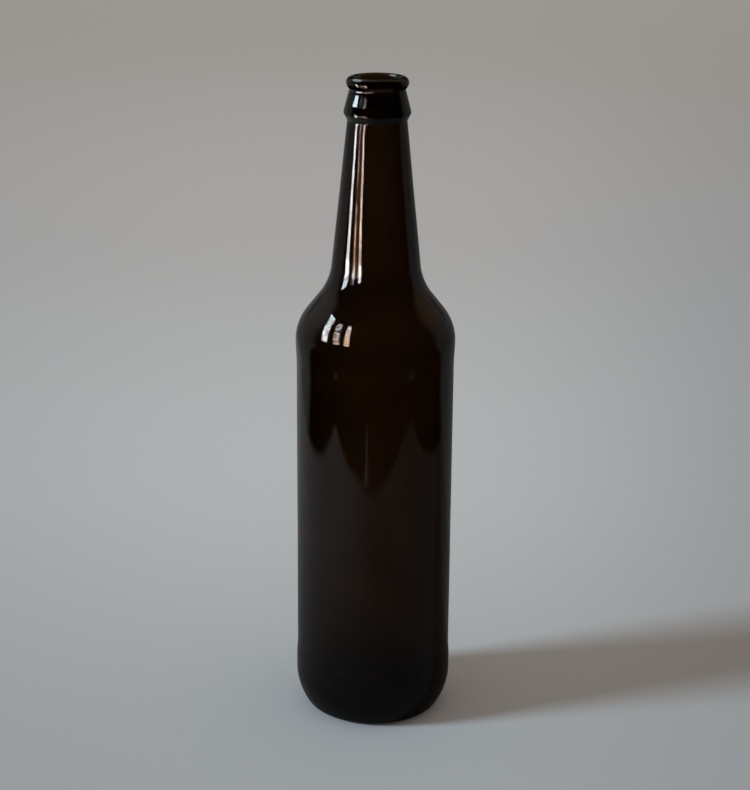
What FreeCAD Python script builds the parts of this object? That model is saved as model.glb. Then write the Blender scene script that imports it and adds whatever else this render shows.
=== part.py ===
import FreeCAD, Part
import math
import os

# A long-necked beer bottle, blown and pressed in one piece of glass.
# Millimetres. The bottle stands on z = 0 with its axis on +Z. Its outline is drawn
# in the X-Z plane as (radius, height) and turned about the axis.
# Corner sizes give where two straight runs would meet before they are rounded.

# Overall
height = 286.5
body_diameter = 69.6            # over the contact bands above and below the label
mouth_diameter = 16.8

# Glass
body_wall = 3.0                 # at the contact bands
base_wall = 5.0                 # at the middle of the base

# Crown finish, from the lip down
bead_diameter = 26.6            # the bead that a crown cap grips
bead_upper_radius = 2.4
bead_lower_radius = 2.0
bead_underside = 2.2            # height of the slope under the bead
lip_flat = 0.7                  # level ring on top that seals against the cap
groove_depth = 1.35
groove_drop = 5.4               # lip down to the groove
groove_radius = 0.9
ring_diameter = 29.0            # reinforcing ring at the foot of the skirt
ring_drop = 15.1                # lip down to the ring
ring_radius = 2.0
ring_ledge = 1.7                # how far the ring stands out of the neck
ring_underside = 3.3            # height of the slope under the ring
neck_top_radius = 0.8

# Neck and shoulder
shoulder_drop = 106.6           # lip down to the shoulder's corner
shoulder_radius = 23.0
shoulder_rise = 18.5            # shoulder's corner up to the foot of the neck
neck_base_diameter = 40.0
neck_sweep_radius = 26.0

# Label panel, sunk between two ramps
label_recess = 0.4
label_top_drop = 17.3           # shoulder's corner down to the panel
label_bottom = 29.6
ramp_length = 5.0
ramp_radius = 50.0

# Heel, a sloping facet with both its corners rounded
heel_rise = 10.4
heel_side_radius = 27.0
heel_inset = 5.9
heel_foot_radius = 6.2
cavity_heel_radius = 13.0

# Base, domed inside the ring that the bottle stands on
bearing_width = 5.4
bearing_round = 4.0
push_up_height = 5.0


def direction(start, end):
    """Unit step from one outline point towards another."""
    dr = end[0] - start[0]
    dz = end[1] - start[1]
    length = math.hypot(dr, dz)
    return dr / length, dz / length


def vector(outline_point):
    """Outline point (radius, height) in the X-Z plane."""
    return FreeCAD.Vector(outline_point[0], 0, outline_point[1])


def line(start, end):
    return Part.makeLine(vector(start), vector(end))


def arc_through(start, middle, end):
    return Part.Arc(vector(start), vector(middle), vector(end)).toShape()


def arc(centre, radius, start_angle, end_angle):
    """Arc about a centre, between two angles in radians."""
    angles = (start_angle, (start_angle + end_angle) / 2, end_angle)
    return arc_through(*[
        (centre[0] + radius * math.cos(angle), centre[1] + radius * math.sin(angle))
        for angle in angles
    ])


def round_corner(before, corner, after, radius):
    """Start, middle and end of the arc that rounds a corner between two straight runs."""
    back = direction(corner, before)
    ahead = direction(corner, after)
    inward = direction((0, 0), (back[0] + ahead[0], back[1] + ahead[1]))
    half_angle = math.acos(back[0] * ahead[0] + back[1] * ahead[1]) / 2
    setback = radius / math.tan(half_angle)
    reach = radius / math.sin(half_angle) - radius
    steps = ((back, setback), (inward, reach), (ahead, setback))
    return [(corner[0] + way[0] * step, corner[1] + way[1] * step) for way, step in steps]


def rounded_run(corners):
    """Lines and arcs through a list of corners, each (radius, height, rounding)."""
    edges = []
    reached = corners[0][:2]
    for before, corner, after in zip(corners, corners[1:], corners[2:]):
        start, middle, end = round_corner(before, corner, after, corner[2])
        edges.append(line(reached, start))
        edges.append(arc_through(start, middle, end))
        reached = end
    edges.append(line(reached, corners[-1][:2]))
    return edges


def one_wall_in(before, corner, after):
    """Corner of the cavity that keeps the body's wall from both runs of an outside corner."""
    back = direction(corner, before)
    ahead = direction(corner, after)
    bend = 1 - back[0] * ahead[0] - back[1] * ahead[1]
    return (
        corner[0] + body_wall * (back[1] - ahead[1]) / bend,
        corner[1] + body_wall * (ahead[0] - back[0]) / bend,
    )


def finish_corners():
    """Outside of the crown finish, from the top of the neck to the top of the bead."""
    ring_height = height - ring_drop
    groove_height = height - groove_drop
    bead = bead_diameter / 2
    return [
        (ring_diameter / 2 - ring_ledge, ring_height - ring_underside, neck_top_radius),
        (ring_diameter / 2, ring_height, ring_radius),
        (bead - groove_depth, groove_height, groove_radius),
        (bead, groove_height + bead_underside, bead_lower_radius),
        (bead, height, bead_upper_radius),
    ]


def body_corners():
    """Outside of the heel, label panel, shoulder and foot of the neck, upwards."""
    side = body_diameter / 2
    panel = side - label_recess
    shoulder = height - shoulder_drop
    label_top = shoulder - label_top_drop
    return [
        (side - heel_inset, 0, heel_foot_radius),
        (side, heel_rise, heel_side_radius),
        (side, label_bottom - ramp_length, ramp_radius),
        (panel, label_bottom, ramp_radius),
        (panel, label_top, ramp_radius),
        (side, label_top + ramp_length, ramp_radius),
        (side, shoulder, shoulder_radius),
        (neck_base_diameter / 2, shoulder + shoulder_rise, neck_sweep_radius),
    ]


def mouth_and_cavity_corners(body, finish):
    """Inside of the bottle from the lip down to the shoulder, one wall in from the outside."""
    mouth = mouth_diameter / 2
    lip_round = (bead_diameter - mouth_diameter) / 2 - bead_upper_radius - lip_flat
    neck = one_wall_in(body[-2], body[-1], finish[0])
    shoulder = one_wall_in(body[-3], body[-2], body[-1])
    return [
        (mouth, height, lip_round),
        (*neck, neck_sweep_radius + body_wall),
        (*shoulder, shoulder_radius - body_wall),
    ]


body = body_corners()
finish = finish_corners()
cavity = mouth_and_cavity_corners(body, finish)

# Underside: a dome that runs smoothly into the inner edge of the bearing ring
bearing_centre = (body[0][0] - bearing_width, bearing_round)
dome_radius = (
    bearing_centre[0] ** 2 + push_up_height ** 2 - 2 * bearing_round * push_up_height
) / (2 * push_up_height)
dome_centre = (0, push_up_height - dome_radius)
bearing_angle = math.atan2(bearing_centre[1] - dome_centre[1], bearing_centre[0])

# Floor of the cavity: the same dome one base wall higher, swept up into the side wall
floor_radius = dome_radius + base_wall
cavity_side = body_diameter / 2 - body_wall
sweep_across = cavity_side - cavity_heel_radius
sweep_up = math.sqrt((floor_radius + cavity_heel_radius) ** 2 - sweep_across ** 2)
sweep_centre = (sweep_across, dome_centre[1] + sweep_up)
sweep_angle = math.atan2(sweep_up, sweep_across)

bearing_edge = (bearing_centre[0], 0)
cavity_side_foot = (cavity_side, sweep_centre[1])
profile = rounded_run([bearing_edge, *body, *finish, *cavity, cavity_side_foot])
profile.append(arc(sweep_centre, cavity_heel_radius, 0, sweep_angle - math.pi))
profile.append(arc(dome_centre, floor_radius, sweep_angle, math.pi / 2))
profile.append(line((0, push_up_height + base_wall), (0, push_up_height)))
profile.append(arc(dome_centre, dome_radius, math.pi / 2, bearing_angle))
profile.append(arc(bearing_centre, bearing_round, bearing_angle - math.pi, -math.pi / 2))

section = Part.Face(Part.Wire(profile))
bottle = section.revolve(FreeCAD.Vector(0, 0, 0), FreeCAD.Vector(0, 0, 1), 360)

os.makedirs("parts", exist_ok=True)
bottle.exportStep("parts/bottle.step")
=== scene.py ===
# %% [markdown]
# # A long-necked beer bottle in amber glass
#
# The construction comes in as a fixed frame: one turned solid at its real size. This lesson draws the
# same bottle again as a mesh whose surface is worth looking at, gives it dark amber glass, and stands
# it on a pale floor in daylight from the left. Everything is in metres, with the bottle standing on z = 0
# and its axis on +Z.

# %% Load the frame
import math

import bmesh
import bpy
from mathutils import Matrix, Vector


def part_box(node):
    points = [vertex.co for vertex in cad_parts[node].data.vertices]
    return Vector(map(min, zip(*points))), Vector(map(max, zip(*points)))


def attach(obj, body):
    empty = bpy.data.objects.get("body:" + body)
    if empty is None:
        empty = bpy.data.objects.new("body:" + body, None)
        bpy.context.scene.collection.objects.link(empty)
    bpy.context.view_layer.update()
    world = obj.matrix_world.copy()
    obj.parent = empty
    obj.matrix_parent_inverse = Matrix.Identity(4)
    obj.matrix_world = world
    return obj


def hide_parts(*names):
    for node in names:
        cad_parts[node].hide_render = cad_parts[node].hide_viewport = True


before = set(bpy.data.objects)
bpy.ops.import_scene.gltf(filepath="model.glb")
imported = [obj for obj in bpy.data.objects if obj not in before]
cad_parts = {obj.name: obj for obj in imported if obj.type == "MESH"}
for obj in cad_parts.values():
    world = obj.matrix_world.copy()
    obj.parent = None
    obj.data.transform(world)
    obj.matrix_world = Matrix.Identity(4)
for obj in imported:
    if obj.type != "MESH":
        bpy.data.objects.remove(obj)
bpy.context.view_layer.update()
low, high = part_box("bottle")
print("frame box", [round(value, 4) for value in (*low, *high)])

# %% [markdown]
# Blender's operators act on whatever is selected, and the imported frame arrives selected, so the
# first habit is to let go of everything. One small helper then does what a hand does with the mouse
# in edit mode: it picks the points, edges or faces that pass a test.

# %% Selecting, as by hand
MM = 0.001


def let_go():
    """Object mode, with nothing selected."""
    if bpy.context.object and bpy.context.object.mode != "OBJECT":
        bpy.ops.object.mode_set(mode="OBJECT")
    bpy.ops.object.select_all(action="DESELECT")


def pick(piece, kind, wanted):
    """In edit mode, select the vertices, edges or faces that pass a test."""
    bpy.ops.mesh.select_mode(type=kind)
    bpy.ops.mesh.select_all(action="DESELECT")
    mesh = bmesh.from_edit_mesh(piece.data)
    parts = {"VERT": mesh.verts, "EDGE": mesh.edges, "FACE": mesh.faces}[kind]
    for part in parts:
        part.select_set(wanted(part))
    mesh.select_flush_mode()
    bmesh.update_edit_mesh(piece.data)


let_go()

# %% [markdown]
# ## The outline
#
# A bottle is made in a mould that is round all the way up, so half of its section says everything.
# It could be traced as a curve, or built ring by ring. Here it is drawn as a glassmaker draws it: a
# run of straight lines between named corners, each corner then rounded to its own radius. Sizes are
# measured down from the lip and in from the side, so the outline always fits the frame's box.

# %% Corners of the outside
height = high[2]
side = high[0]

bearing_edge = 17.0 * MM            # inner edge of the ring that the bottle stands on
push_up = 5.0 * MM                  # how far the underside is domed
push_up_slope = math.radians(30.9)
heel_inset = 5.9 * MM
heel_rise = 10.4 * MM
label_recess = 0.4 * MM
label_bottom = 29.6 * MM
ramp = 5.0 * MM
label_rise = 9.0 * MM               # the ramp above the label is longer and gentler
shoulder = height - 106.6 * MM
label_top = shoulder - 17.3 * MM
neck_foot = 20.0 * MM
shoulder_rise = 18.5 * MM
ring = 14.5 * MM
ring_height = height - 15.1 * MM
ring_step = 1.7 * MM                # how far the ring stands out from the neck
ring_foot = 3.3 * MM                # from the ring's widest place down to the neck
bead = 13.3 * MM
groove_height = height - 5.4 * MM
groove_depth = 1.35 * MM
groove_to_bead = 2.2 * MM
mouth = 8.4 * MM

dome_corner = bearing_edge - push_up / math.tan(push_up_slope)
dome_radius = dome_corner / math.tan(push_up_slope / 2)

outside = [
    # distance from the axis, height, radius of the corner
    (0, push_up, 0),
    (dome_corner, push_up, dome_radius),
    (bearing_edge, 0, 4.0 * MM),
    (side - heel_inset, 0, 6.2 * MM),
    (side, heel_rise, 27.0 * MM),
    (side, label_bottom - ramp, 50.0 * MM),
    (side - label_recess, label_bottom, 50.0 * MM),
    (side - label_recess, label_top, 50.0 * MM),
    (side, label_top + label_rise, 50.0 * MM),
    (side, shoulder, 23.0 * MM),
    (neck_foot, shoulder + shoulder_rise, 26.0 * MM),
    (ring - ring_step, ring_height - ring_foot, 0.8 * MM),
    (ring, ring_height, 2.0 * MM),
    (bead - groove_depth, groove_height, 0.9 * MM),
    (bead, groove_height + groove_to_bead, 2.0 * MM),
    (bead, height, 2.4 * MM),
]
print("outside corners", len(outside), "dome radius", round(dome_radius, 4))

# %% [markdown]
# The inside follows one wall behind the outside, thinner in the neck: first down through the mouth,
# then out under the shoulder, down the side and round into a floor that is domed like the underside.
# A corner of the inside is the point that keeps one wall from both lines that meet at the outside
# corner.

# %% Corners of the inside
wall = 3.0 * MM
neck_wall = 2.5 * MM
thick_shoulder = 6.0 * MM           # how far below the label's top the thicker glass begins
floor_height = 10.0 * MM
floor_slope = math.radians(22.4)


def step_towards(start, end):
    """Unit step in the outline's plane."""
    return Vector((end[0] - start[0], end[1] - start[1])).normalized()


def one_wall_in(before, corner, after, wall):
    """The inside corner behind an outside corner."""
    back = step_towards(corner, before)
    ahead = step_towards(corner, after)
    bend = 1 - back.dot(ahead)
    return (
        corner[0] + wall * (back.y - ahead.y) / bend,
        corner[1] + wall * (ahead.x - back.x) / bend,
    )


floor_corner = 7.2 * MM
cavity_side = side - wall
cavity_foot = floor_height - (cavity_side - floor_corner) * math.tan(floor_slope)
contact_corner, shoulder_corner, neck_corner, ring_corner = outside[8:12]
inside = [
    (mouth, height, 1.8 * MM),
    (*one_wall_in(shoulder_corner, neck_corner, ring_corner, neck_wall), 29.0 * MM),
    (*one_wall_in(contact_corner, shoulder_corner, neck_corner, neck_wall), 20.0 * MM),
    (cavity_side, label_top - thick_shoulder, 50.0 * MM),
    (cavity_side, cavity_foot, 13.0 * MM),
    (floor_corner, floor_height, floor_corner / math.tan(floor_slope / 2)),
    (0, floor_height, 0),
]
outline = outside + inside
print("outline corners", len(outline))

# %% [markdown]
# To draw the outline, a plane is added at its first point and merged to a single vertex, the usual
# way to get one loose point by hand. That point is then extruded from corner to corner.

# %% Draw it corner by corner
def at(point):
    """A point of the outline in the X-Z plane."""
    return Vector((point[0], 0, point[1]))


bpy.ops.mesh.primitive_plane_add(size=MM, location=at(outline[0]))
bottle = bpy.context.object
bottle.name = "bottle_glass"
bpy.ops.object.transform_apply(location=True, rotation=True, scale=True)
bpy.ops.object.mode_set(mode="EDIT")
bpy.ops.mesh.merge(type="CENTER")
for here, there in zip(outline, outline[1:]):
    bpy.ops.mesh.extrude_region_move(TRANSFORM_OT_translate={"value": at(there) - at(here)})
print("drawn", len(bmesh.from_edit_mesh(bottle.data).verts), "corners")

# %% [markdown]
# A vertex bevel rounds a corner. Its offset is how far back along both lines the arc begins, which is
# the radius times the tangent of half the turn. The profile value bends the cut: 0.5 is a true arc
# only at a right angle, so it is worked out from the turn to keep gentle corners round as well.

# %% Round the corners
def round_corner(before, corner, after):
    """Bevel one corner of the outline to its radius."""
    turn = step_towards(before, corner).angle(step_towards(corner, after))
    middle = 1 - 0.5 / (1 + math.cos(turn / 2))
    pick(bottle, "VERT", lambda vertex: (vertex.co - at(corner)).length < 0.01 * MM)
    bpy.ops.mesh.bevel(
        affect="VERTICES",
        offset_type="OFFSET",
        offset=corner[2] * math.tan(turn / 2),
        segments=min(max(round(math.degrees(turn) / 3), 7), 16),
        profile=middle ** 2,
        clamp_overlap=False,
    )


for before, corner, after in zip(outline, outline[1:], outline[2:]):
    round_corner(before, corner, after)
print("rounded", len(bmesh.from_edit_mesh(bottle.data).verts), "points")

# %% [markdown]
# Blown glass is never quite true, and a long straight line has no points to carry a ripple. The long
# runs are halved until every piece is only a few millimetres.

# %% Cut the long runs
run_length = 4.0 * MM
halvings = 6
for halving in range(halvings):
    pick(bottle, "EDGE", lambda edge: edge.calc_length() > run_length)
    bpy.ops.mesh.subdivide(number_cuts=1)
print("outline points", len(bmesh.from_edit_mesh(bottle.data).verts))

# %% [markdown]
# ## Turning the glass
#
# Spin carries the outline once round the axis, as a lathe would. Points on the axis land on each
# other and the last step lands on the first, so doubles are merged, and the normals are then made to
# point out of the glass, outside and inside alike.

# %% Spin, merge and turn the normals out
turn_steps = 144
bpy.ops.mesh.select_all(action="SELECT")
bpy.ops.mesh.spin(steps=turn_steps, angle=math.tau, center=(0, 0, 0), axis=(0, 0, 1))
bpy.ops.mesh.select_all(action="SELECT")
bpy.ops.mesh.remove_doubles(threshold=0.005 * MM)
bpy.ops.mesh.normals_make_consistent(inside=False)
print("turned", len(bmesh.from_edit_mesh(bottle.data).faces), "faces")

# %% [markdown]
# ## Mould seams
#
# The two halves of the mould meet along two upright lines on opposite sides, and a thread of glass
# stands out there. It could be painted on with bump, but the thread catches light from all round
# only if it is really there. One column of edges on each side, on the upper half of the body, is
# beveled into a narrow strip. All but the strip's two borders is then pushed out by a little more than
# a tenth of a millimetre, which gives it steep flanks and a flat top.
# Elsewhere the fire has smoothed it away.

# %% Raise the seams
seam_angle = math.radians(-95)
seam_half_width = 0.24 * MM
seam_top = shoulder - 7.5 * MM
seam_foot = 118 * MM
seam_lift = 0.15 * MM


def off_seam(place):
    """Distance from the plane of the seams."""
    return abs(place.x * math.sin(seam_angle) - place.y * math.cos(seam_angle))


def faces_out(vertex):
    """True on the outside of the glass, where the normal points away from the axis."""
    return vertex.normal.x * vertex.co.x + vertex.normal.y * vertex.co.y > 0


def near_seam(vertex, reach):
    between = seam_foot < vertex.co.z < seam_top
    return between and off_seam(vertex.co) < reach and faces_out(vertex)


pick(bottle, "EDGE", lambda edge: all(near_seam(vertex, 0.02 * MM) for vertex in edge.verts))
bpy.ops.mesh.bevel(offset=seam_half_width, segments=4, affect="EDGES", clamp_overlap=False)
pick(bottle, "VERT", lambda vertex: near_seam(vertex, 0.8 * seam_half_width))
bpy.ops.transform.shrink_fatten(value=seam_lift)
print("with seams", len(bmesh.from_edit_mesh(bottle.data).faces), "faces")

# %% [markdown]
# ## Unevenness
#
# The mould gives the outside a faint ripple, and the inside, which only air has shaped, is wavier.
# Two Displace modifiers do this, each held to its own side of the glass by a vertex group. The
# outer one only presses inwards, so the bottle keeps its true diameter.

# %% Name the outside and the inside
def name_points(piece, name, wanted):
    """A vertex group of the points that pass a test."""
    pick(piece, "VERT", wanted)
    bpy.ops.object.vertex_group_add()
    piece.vertex_groups.active.name = name
    bpy.ops.object.vertex_group_assign()


name_points(bottle, "outside", faces_out)
still_mouth = height - 8 * MM       # above this the mouth keeps its exact height
name_points(
    bottle, "inside",
    lambda vertex: not faces_out(vertex) and floor_height < vertex.co.z < still_mouth,
)
let_go()
bpy.context.view_layer.objects.active = bottle
bottle.select_set(True)


# %% Ripple both sides
def ripple(piece, group, size, strength, rest_level):
    """Displace the points of one group by soft noise, and apply it."""
    noise = bpy.data.textures.new(group + "_ripple", "CLOUDS")
    noise.noise_scale = size
    noise.noise_depth = 1
    bpy.ops.object.modifier_add(type="DISPLACE")
    displace = piece.modifiers[-1]
    displace.texture = noise
    displace.texture_coords = "LOCAL"
    displace.vertex_group = group
    displace.strength = strength
    displace.mid_level = rest_level
    bpy.ops.object.modifier_apply(modifier=displace.name)


ripple(bottle, "outside", 26 * MM, 0.12 * MM, 1.0)
ripple(bottle, "inside", 18 * MM, 0.50 * MM, 0.5)
bpy.ops.object.shade_smooth_by_angle(angle=math.radians(60))
print("bottle", [round(value / MM, 2) for value in bottle.dimensions], "mm")

# %% [markdown]
# ## Writing shaders
#
# A shader's arithmetic reads best as arithmetic. This small class holds one socket and answers to
# the signs + - * /, adding a Math node each time, and its add method makes any other node.

# %% A socket that does sums
class Wire:
    """One output socket in a node tree."""

    def __init__(self, tree, socket=None):
        self.tree = tree
        self.socket = socket

    def add(self, kind, settings=None, inputs=None, output=0):
        """Any node: its settings first, then values or wires into its sockets."""
        node = self.tree.nodes.new(kind)
        for name, value in (settings or {}).items():
            setattr(node, name, value)
        for name, value in (inputs or {}).items():
            if isinstance(value, Wire):
                self.tree.links.new(value.socket, node.inputs[name])
            else:
                node.inputs[name].default_value = value
        return Wire(self.tree, node.outputs[output] if node.outputs else None)

    def sum_node(self, operation, first, second=0.0, third=0.0):
        """A Math node."""
        return self.add("ShaderNodeMath", {"operation": operation}, {0: first, 1: second, 2: third})

    def __add__(self, other):
        return self.sum_node("ADD", self, other)

    def __sub__(self, other):
        return self.sum_node("SUBTRACT", self, other)

    def __rsub__(self, other):
        return self.sum_node("SUBTRACT", other, self)

    def __mul__(self, other):
        return self.sum_node("MULTIPLY", self, other)

    def __truediv__(self, other):
        return self.sum_node("DIVIDE", self, other)

    __radd__ = __add__
    __rmul__ = __mul__

    def rise(self, start, end):
        """0 below start, 1 above end, a soft step between. Start may be the larger."""
        settings = {"interpolation_type": "SMOOTHSTEP"}
        if start < end:
            return self.add("ShaderNodeMapRange", settings, {0: self, 1: start, 2: end})
        return 1 - self.rise(end, start)

    def between(self, low, high):
        """Use this wire as the factor between two plain numbers."""
        return low + (high - low) * self

    def tint(self, low_colour, high_colour):
        """Use this wire as the factor between two colours."""
        inputs = {0: self, 6: low_colour, 7: high_colour}
        return self.add("ShaderNodeMix", {"data_type": "RGBA"}, inputs, 2)


def start_shader(tree):
    """Empty a node tree and take hold of it."""
    tree.nodes.clear()
    return Wire(tree)


def object_axes(sheet):
    """The object's own coordinates as a vector and as three wires."""
    place = sheet.add("ShaderNodeTexCoord", output=3)
    axes = [sheet.add("ShaderNodeSeparateXYZ", inputs={0: place}, output=axis) for axis in range(3)]
    return place, axes


# %% [markdown]
# ## Amber glass
#
# Amber glass is clear glass that swallows light on its way through, blue first and red last, so thin
# glass looks honey-coloured and two walls of it look nearly black. Painting the surface brown would
# make it brown even at its edges. Here the surface is colourless, with the index of real glass, and a
# Volume Absorption inside does the colouring: its depth comes from the true thickness of the walls.
# The surface itself is not perfect: a fine orange-peel from the mould bends reflections a little,
# and the two contact bands, where bottles rub together in a crate, are faintly dulled.

# %% The glass
glass_index = 1.52
glass_tint = (0.345, 0.2, 0.0, 1)       # what is left of each colour, red last to go
glass_density = 1200.0
peel_depth = 0.02 * MM


def amber_glass():
    material = bpy.data.materials.new("amber_glass")
    material.use_nodes = True
    sheet = start_shader(material.node_tree)
    place, (x, y, z) = object_axes(sheet)
    reach = sheet.sum_node("SQRT", x * x + y * y)
    peel = sheet.add("ShaderNodeTexNoise", None, {"Vector": place, "Scale": 260.0, "Detail": 1.0})
    swell = sheet.add("ShaderNodeTexNoise", None, {"Vector": place, "Scale": 70.0, "Detail": 0.0})
    relief = peel * 0.25 + swell
    bump = sheet.add("ShaderNodeBump", None, {"Strength": 1.0, "Distance": peel_depth, "Height": relief})
    grime = sheet.add("ShaderNodeTexNoise", None, {"Vector": place, "Scale": 45.0, "Detail": 4.0})
    scuffs = sheet.add("ShaderNodeTexNoise", None, {"Vector": place, "Scale": 1400.0, "Detail": 2.0})
    band = reach.rise(side - 0.3 * MM, side - 0.1 * MM) * scuffs.rise(0.5, 0.7)
    roughness = 0.012 + 0.02 * grime + 0.09 * band
    surface = sheet.add("ShaderNodeBsdfPrincipled", None, {
        "Base Color": (1, 1, 1, 1),
        "Roughness": roughness,
        "IOR": glass_index,
        "Transmission Weight": 1.0,
        "Normal": bump,
    })
    depth = sheet.add("ShaderNodeVolumeAbsorption", None, {
        "Color": glass_tint,
        "Density": glass_density,
    })
    sheet.add("ShaderNodeOutputMaterial", None, {"Surface": surface, "Volume": depth})
    return material


bottle.data.materials.clear()
bottle.data.materials.append(amber_glass())
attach(bottle, "root")
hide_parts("bottle")
print("glass on", bottle.name)

# %% [markdown]
# ## The floor
#
# The bottle stands on a wide pale floor that runs back out of sight, so nothing behind it competes.
# Dark glass is a black mirror: what shows on it is the room. For mirror rays the floor's colour is a
# painted reflection of that room: a pale sheet of paper whose front edge is painted with the dark room
# beyond it, and only the side away from the front stays pale all the way out, brighter on the window's
# side. For the camera the floor carries painted light and shade: brightest just behind the bottle,
# bluish near and warmer far away, and darker to the sides, the right most.

# %% Lay the floor
floor_size = 30.0
# The sheet and the dark room around it are a painted reflection, which only mirror rays see.
paper_side = 0.38                       # the mirrored sheet's half width
paper_front = -0.333
paper_back = 0.14                       # beyond this the floor stays pale in the mirror
sheet_bright, sheet_dim = 0.27, 0.08    # levels in the mirror, window's side and the other
back_bright, back_dim = 0.185, 0.105
distant = (0.362, 0.346, 0.323, 1)      # the colour of the floor far away
full_light = (0.91, 0.90, 0.90)         # how much of its colour the lit floor shows


def floor_paint():
    material = bpy.data.materials.new("pale_floor")
    material.use_nodes = True
    sheet = start_shader(material.node_tree)
    place, (x, y, z) = object_axes(sheet)
    mirror = sheet.add("ShaderNodeLightPath", output="Is Glossy Ray")
    through = sheet.add("ShaderNodeLightPath", output="Is Transmission Ray")
    reflected = mirror * (1 - through)
    # Painted reflection: what mirror rays see of the floor, a pale sheet and the dark room around it.
    sides = sheet.sum_node("ABSOLUTE", x).rise(paper_side + 0.015, paper_side - 0.015)
    left = sheet.sum_node("MINIMUM", x, 0.0)
    right = sheet.sum_node("MAXIMUM", x - 0.2, 0.0)
    front = 0.65 * left * left + 2.0 * right * right + paper_front
    paper = sides * (y - front).rise(-0.012, 0.012)
    sheet_level = x.rise(-0.3, 0.06).between(sheet_bright, sheet_dim)
    back_level = x.rise(-0.1, 0.1).between(back_bright, back_dim)
    behind = y.rise(paper_back - 0.03, paper_back + 0.05)
    painted_reflection = sheet.sum_node("MAXIMUM", paper * sheet_level, behind * back_level)
    mottle = sheet.add("ShaderNodeTexNoise", None, {"Vector": place, "Scale": 3.0, "Detail": 2.0})
    near = mottle.tint((0.36, 0.385, 0.40, 1), (0.37, 0.395, 0.41, 1))
    # Painted light: the floor is brightest just behind the bottle, bluish near and warmer far away.
    middle = y.rise(-0.15, 0.3).tint(near, (0.47, 0.49, 0.495, 1))
    further = y.rise(0.3, 0.95).tint(middle, (0.418, 0.414, 0.411, 1))
    far = y.rise(0.8, 2.6).tint(further, distant)
    # Painted shade: the floor darkens towards the sides, the right most, warmer far away.
    sideways = x / (y + 1.0)
    shade = y.rise(0.4, 2.6).tint((0.315, 0.325, 0.335, 1), (0.315, 0.29, 0.262, 1))
    shaded = sideways.rise(0.02, 0.24) + 0.4 * sideways.rise(-0.05, -0.25)
    aside = (shaded * y.rise(-0.6, -0.2)).tint(far, shade)
    distance = sheet.sum_node("SQRT", x * x + y * y)
    plain = distance.rise(1.0, 4.5).tint(aside, distant)
    dim = painted_reflection.tint((0.0, 0.0, 0.0, 1), (1.0, 1.0, 1.0, 1))
    colour = reflected.tint(plain, dim)
    surface = sheet.add("ShaderNodeBsdfPrincipled", None, {
        "Base Color": colour,
        "Roughness": 0.8,
        "Specular IOR Level": 0.0,
    })
    sheet.add("ShaderNodeOutputMaterial", None, {"Surface": surface})
    return material


let_go()
bpy.ops.mesh.primitive_plane_add(size=floor_size)
floor = bpy.context.object
floor.name = "floor"
floor.data.materials.append(floor_paint())

# %% [markdown]
# ## The room's light
#
# The world gives soft light from everywhere, slightly warm, at a plain level. Mirror rays don't meet
# the backdrop that the camera sees, but a room: dim walls behind, continuing the floor, brighter on
# the window's side and brownish on the other, and a dark room in front. Straight behind the bottle
# the wall is only low.

# %% The world
wall_bright, wall_dim = 0.19, 0.12      # the room's walls in the mirror, window's side and the other
ambient = (0.56, 0.475, 0.415, 1)
steep_light = (0.9, 0.8, 0.7, 1)        # what steep rays that come through the glass meet


def room_light():
    world = bpy.data.worlds.new("room")
    bpy.context.scene.world = world
    world.use_nodes = True
    sheet = start_shader(world.node_tree)
    way = sheet.add("ShaderNodeTexCoord", output=0)
    x, y, z = [sheet.add("ShaderNodeSeparateXYZ", inputs={0: way}, output=axis) for axis in range(3)]
    mirror = sheet.add("ShaderNodeLightPath", output="Is Glossy Ray")
    through = sheet.add("ShaderNodeLightPath", output="Is Transmission Ray")
    camera = sheet.add("ShaderNodeLightPath", output="Is Camera Ray")
    behind = y.rise(0.0, 0.3)
    away = x.rise(-0.1, 0.1)
    straight_up_back = y.rise(0.7, 0.9) * z.rise(0.05, 0.2)
    level = away.between(wall_bright, wall_dim) + 0.08 * z.rise(0.1, 0.6)
    level = level * (1 - 0.93 * straight_up_back)
    brown = away * z.rise(0.1, 0.5)
    wall = brown.tint((1.0, 0.97, 0.94, 1), (1.0, 0.72, 0.46, 1))
    walls = (behind * level).tint((0.004, 0.0035, 0.003, 1), wall)
    backdrop = (*[part * light for part, light in zip(distant, full_light)], 1)
    above = z.rise(0.35, 0.7).tint(backdrop, steep_light)
    seen = mirror.tint(ambient, walls)
    colour = camera.tint(through.tint(seen, above), backdrop)
    surface = sheet.add("ShaderNodeBackground", None, {"Color": colour, "Strength": 1.0})
    sheet.add("ShaderNodeOutputWorld", None, {"Surface": surface})


room_light()

# %% [markdown]
# Daylight comes from a window to the left and a little in front. One broad, soft, distant lamp gives
# its light and the shadow to the right, the same all over the floor. It stays out of the
# reflections, where a bare disc would look false.

# %% The daylight
def towards(around, up):
    """A direction, in degrees round from the front towards the left, and degrees up."""
    around = math.radians(around)
    up = math.radians(up)
    return Vector((
        -math.sin(around) * math.cos(up),
        -math.cos(around) * math.cos(up),
        math.sin(up),
    ))


key_from = towards(74, 24)
key_turn = key_from.to_track_quat("Z", "Y").to_euler()
bpy.ops.object.light_add(type="SUN", location=key_from, rotation=key_turn)
key = bpy.context.object
key.name = "daylight"
key.data.angle = math.radians(13)
key.data.energy = 3.75
key.data.color = (0.72, 0.88, 1.0)
key.visible_camera = False
key.visible_glossy = False
key.visible_transmission = False

# %% [markdown]
# What shines in glassware in a studio is cards: small lit cards that stand close round it, out of
# the picture, each placed for one part of the glass. These are rings round the bottle that only
# mirror rays meet, glowing in bands, the three lights of a window with dark bars between. The low
# ring draws the panes on the shoulder. The very wide and shallow one, like a polished sill, draws the
# long streaks down the neck, and two small rings give the skirt and the lip their glints. A last ring
# without bands is a flag: flat and black, it keeps the skirt's card off the underside of the bead.

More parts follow.
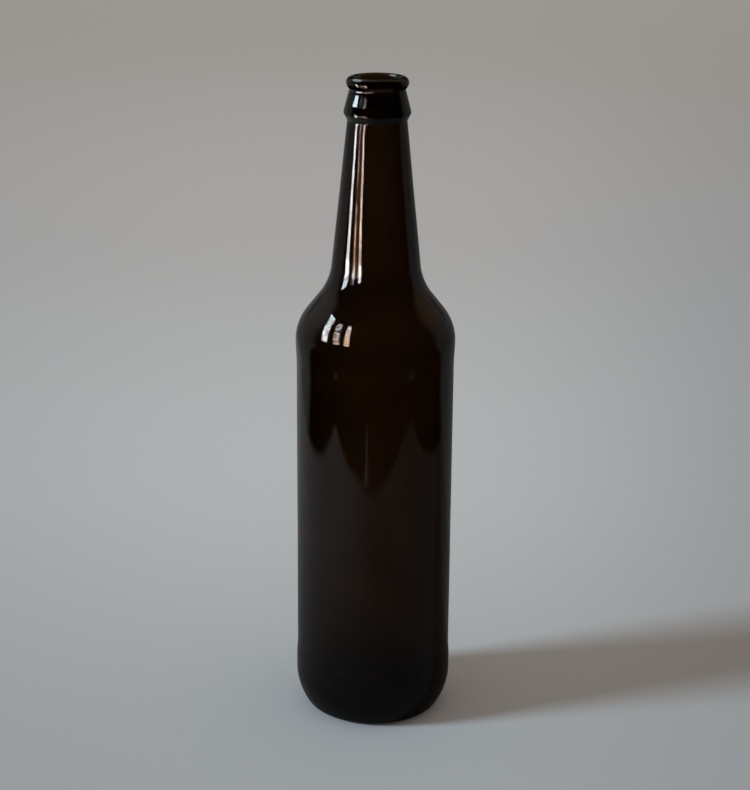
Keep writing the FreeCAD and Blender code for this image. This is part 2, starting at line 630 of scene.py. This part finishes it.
# %% The lit cards
card_rings = (
    # name, radius and height of the foot, radius and height of the head, how fine the glow is
    # broken, how the bands bend on their way up (1 is straight)
    ("card_shoulder", 0.045, 0.1812, 0.045, 0.2080, 330.0, 1.0),
    ("card_sill", 0.12, 0.1937, 2.6, 0.350, 9.0, 0.5),
    ("card_skirt", 0.0155, 0.2756, 0.0155, 0.2806, 500.0, 1.0),
    ("card_lip", 0.05, 0.3180, 0.05, 0.3560, 200.0, 1.0),
    ("flag_lip", 0.0124, 0.2811, 0.0155, 0.2812, 1.0, 1.0),
)
card_bands = {
    # degrees round towards the left at the foot and at the head, half width at both, strength, how
    # much of it is broken up, colour at the foot, colour at the head
    "card_shoulder": (
        (51, 64.5, 3.6, 5.2, 18.0, 0.6, (0.95, 0.97, 0.95, 1), (0.82, 0.93, 1.0, 1)),
        (37, 48, 3.6, 3.8, 12.0, 0.93, (1.0, 0.72, 0.58, 1), (0.86, 0.93, 1.0, 1)),
        (26.5, 33, 2.6, 2.6, 17.0, 0.5, (1.0, 0.62, 0.36, 1), (1.0, 0.96, 0.97, 1)),
    ),
    "card_sill": (
        (73.5, 92.5, 4.6, 4.6, 18.0, 0.25, (1.0, 0.97, 0.92, 1), (1.0, 1.0, 1.0, 1)),
        (53, 73, 2.2, 2.2, 10.0, 0.95, (1.0, 0.7, 0.45, 1), (0.9, 0.93, 1.0, 1)),
        (38.5, 54, 3.2, 3.2, 17.0, 0.35, (1.0, 0.8, 0.62, 1), (1.0, 0.8, 0.76, 1)),
        (46, 66, 14.0, 8.0, 1.5, 0.6, (1.0, 0.36, 0.08, 1), (0.1, 0.04, 0.01, 1)),
    ),
    "card_skirt": (
        (52, 54, 6.5, 5.5, 20.0, 0.2, (0.75, 0.9, 1.0, 1), (0.72, 0.88, 1.0, 1)),
        (38, 38, 3.0, 3.0, 1.0, 0.8, (1.0, 0.95, 0.95, 1), (1.0, 0.95, 0.95, 1)),
        (28, 28, 3.0, 3.0, 8.0, 0.9, (1.0, 0.9, 0.9, 1), (0.0, 0.0, 0.0, 1)),
    ),
    "card_lip": (
        (120, 125, 36.0, 40.0, 3.5, 0.5, (0.85, 0.97, 1.0, 1), (0.85, 1.0, 0.97, 1)),
    ),
    "flag_lip": (),
}
card_edge = math.radians(0.8)           # how soft a band's edges are


def card_glow(name, foot, head, fineness, bend):
    """A glow in bands, clear between them, from outside, and to light that has been in the glass."""
    material = bpy.data.materials.new(name)
    material.use_nodes = True
    material.cycles.emission_sampling = "NONE"
    sheet = start_shader(material.node_tree)
    place, (x, y, z) = object_axes(sheet)
    around = sheet.sum_node("ARCTAN2", 0 - x, 0 - y)
    up = sheet.sum_node("POWER", (z - foot) / (head - foot), bend)
    noise = sheet.add("ShaderNodeTexNoise", None, {"Vector": place, "Scale": fineness, "Detail": 3.0})
    broken = noise.rise(0.38, 0.62)
    kept = 1.0 if card_bands[name] else 0.0
    glow = sheet.add("ShaderNodeBsdfTransparent", None, {"Color": (kept, kept, kept, 1)})
    clear = sheet.add("ShaderNodeBsdfTransparent")
    for row in card_bands[name]:
        low_angle, high_angle, low_half, high_half = [math.radians(angle) for angle in row[:4]]
        strength, loss, low_colour, high_colour = row[4:]
        middle = up * (high_angle - low_angle) + low_angle
        half = up * (high_half - low_half) + low_half
        inside_band = (half - sheet.sum_node("ABSOLUTE", around - middle)).rise(-card_edge, card_edge)
        band = inside_band * (1 - loss * broken)
        light = sheet.add("ShaderNodeEmission", None, {
            "Color": band.tint((0, 0, 0, 1), up.tint(low_colour, high_colour)),
            "Strength": strength,
        })
        glow = sheet.add("ShaderNodeAddShader", None, {0: glow, 1: light})
    outside = sheet.add("ShaderNodeNewGeometry", output="Backfacing")
    through = sheet.add("ShaderNodeLightPath", output="Is Transmission Ray")
    unlit = sheet.sum_node("MAXIMUM", outside, through)
    surface = sheet.add("ShaderNodeMixShader", None, {0: unlit, 1: glow, 2: clear})
    sheet.add("ShaderNodeOutputMaterial", None, {"Surface": surface})
    return material


def card_ring(name, foot_radius, foot, head_radius, head, fineness, bend):
    """An open ring round the axis, facing it, that only mirror rays meet."""
    let_go()
    bpy.ops.mesh.primitive_cone_add(
        vertices=96, radius1=foot_radius, radius2=head_radius, depth=head - foot,
        end_fill_type="NOTHING", location=(0, 0, (foot + head) / 2),
    )
    ring = bpy.context.object
    ring.name = name
    bpy.ops.object.transform_apply(location=True, rotation=True, scale=True)
    bpy.ops.object.mode_set(mode="EDIT")
    bpy.ops.mesh.select_all(action="SELECT")
    bpy.ops.mesh.flip_normals()
    let_go()
    ring.data.materials.append(card_glow(name, foot, head, fineness, bend))
    ring.visible_camera = False
    ring.visible_diffuse = False
    ring.visible_transmission = False
    ring.visible_shadow = False


for ring in card_rings:
    card_ring(*ring)
print("rings of cards", len(card_rings))

# %% [markdown]
# ## The camera
#
# A long lens looks slightly down at the bottle from the front, level but for half a degree of roll.

# %% The camera
view_pitch = math.radians(17.85)
view_roll = math.radians(0.47)
view_distance = 0.8488
aim = Vector((0, 0, 0.512 * height))
lens = 88.0

away = Vector((0, -math.cos(view_pitch), math.sin(view_pitch)))
turn = Matrix.Rotation(math.pi / 2 - view_pitch, 3, "X") @ Matrix.Rotation(view_roll, 3, "Z")
bpy.ops.object.camera_add(location=aim + away * view_distance, rotation=turn.to_euler())
camera = bpy.context.object
camera.data.lens = lens
camera.data.sensor_width = 36.0
bpy.context.scene.camera = camera
bpy.context.scene.view_settings.view_transform = "Standard"

# %% [markdown]
# Last, nothing is left selected.

# %% Finish
let_go()
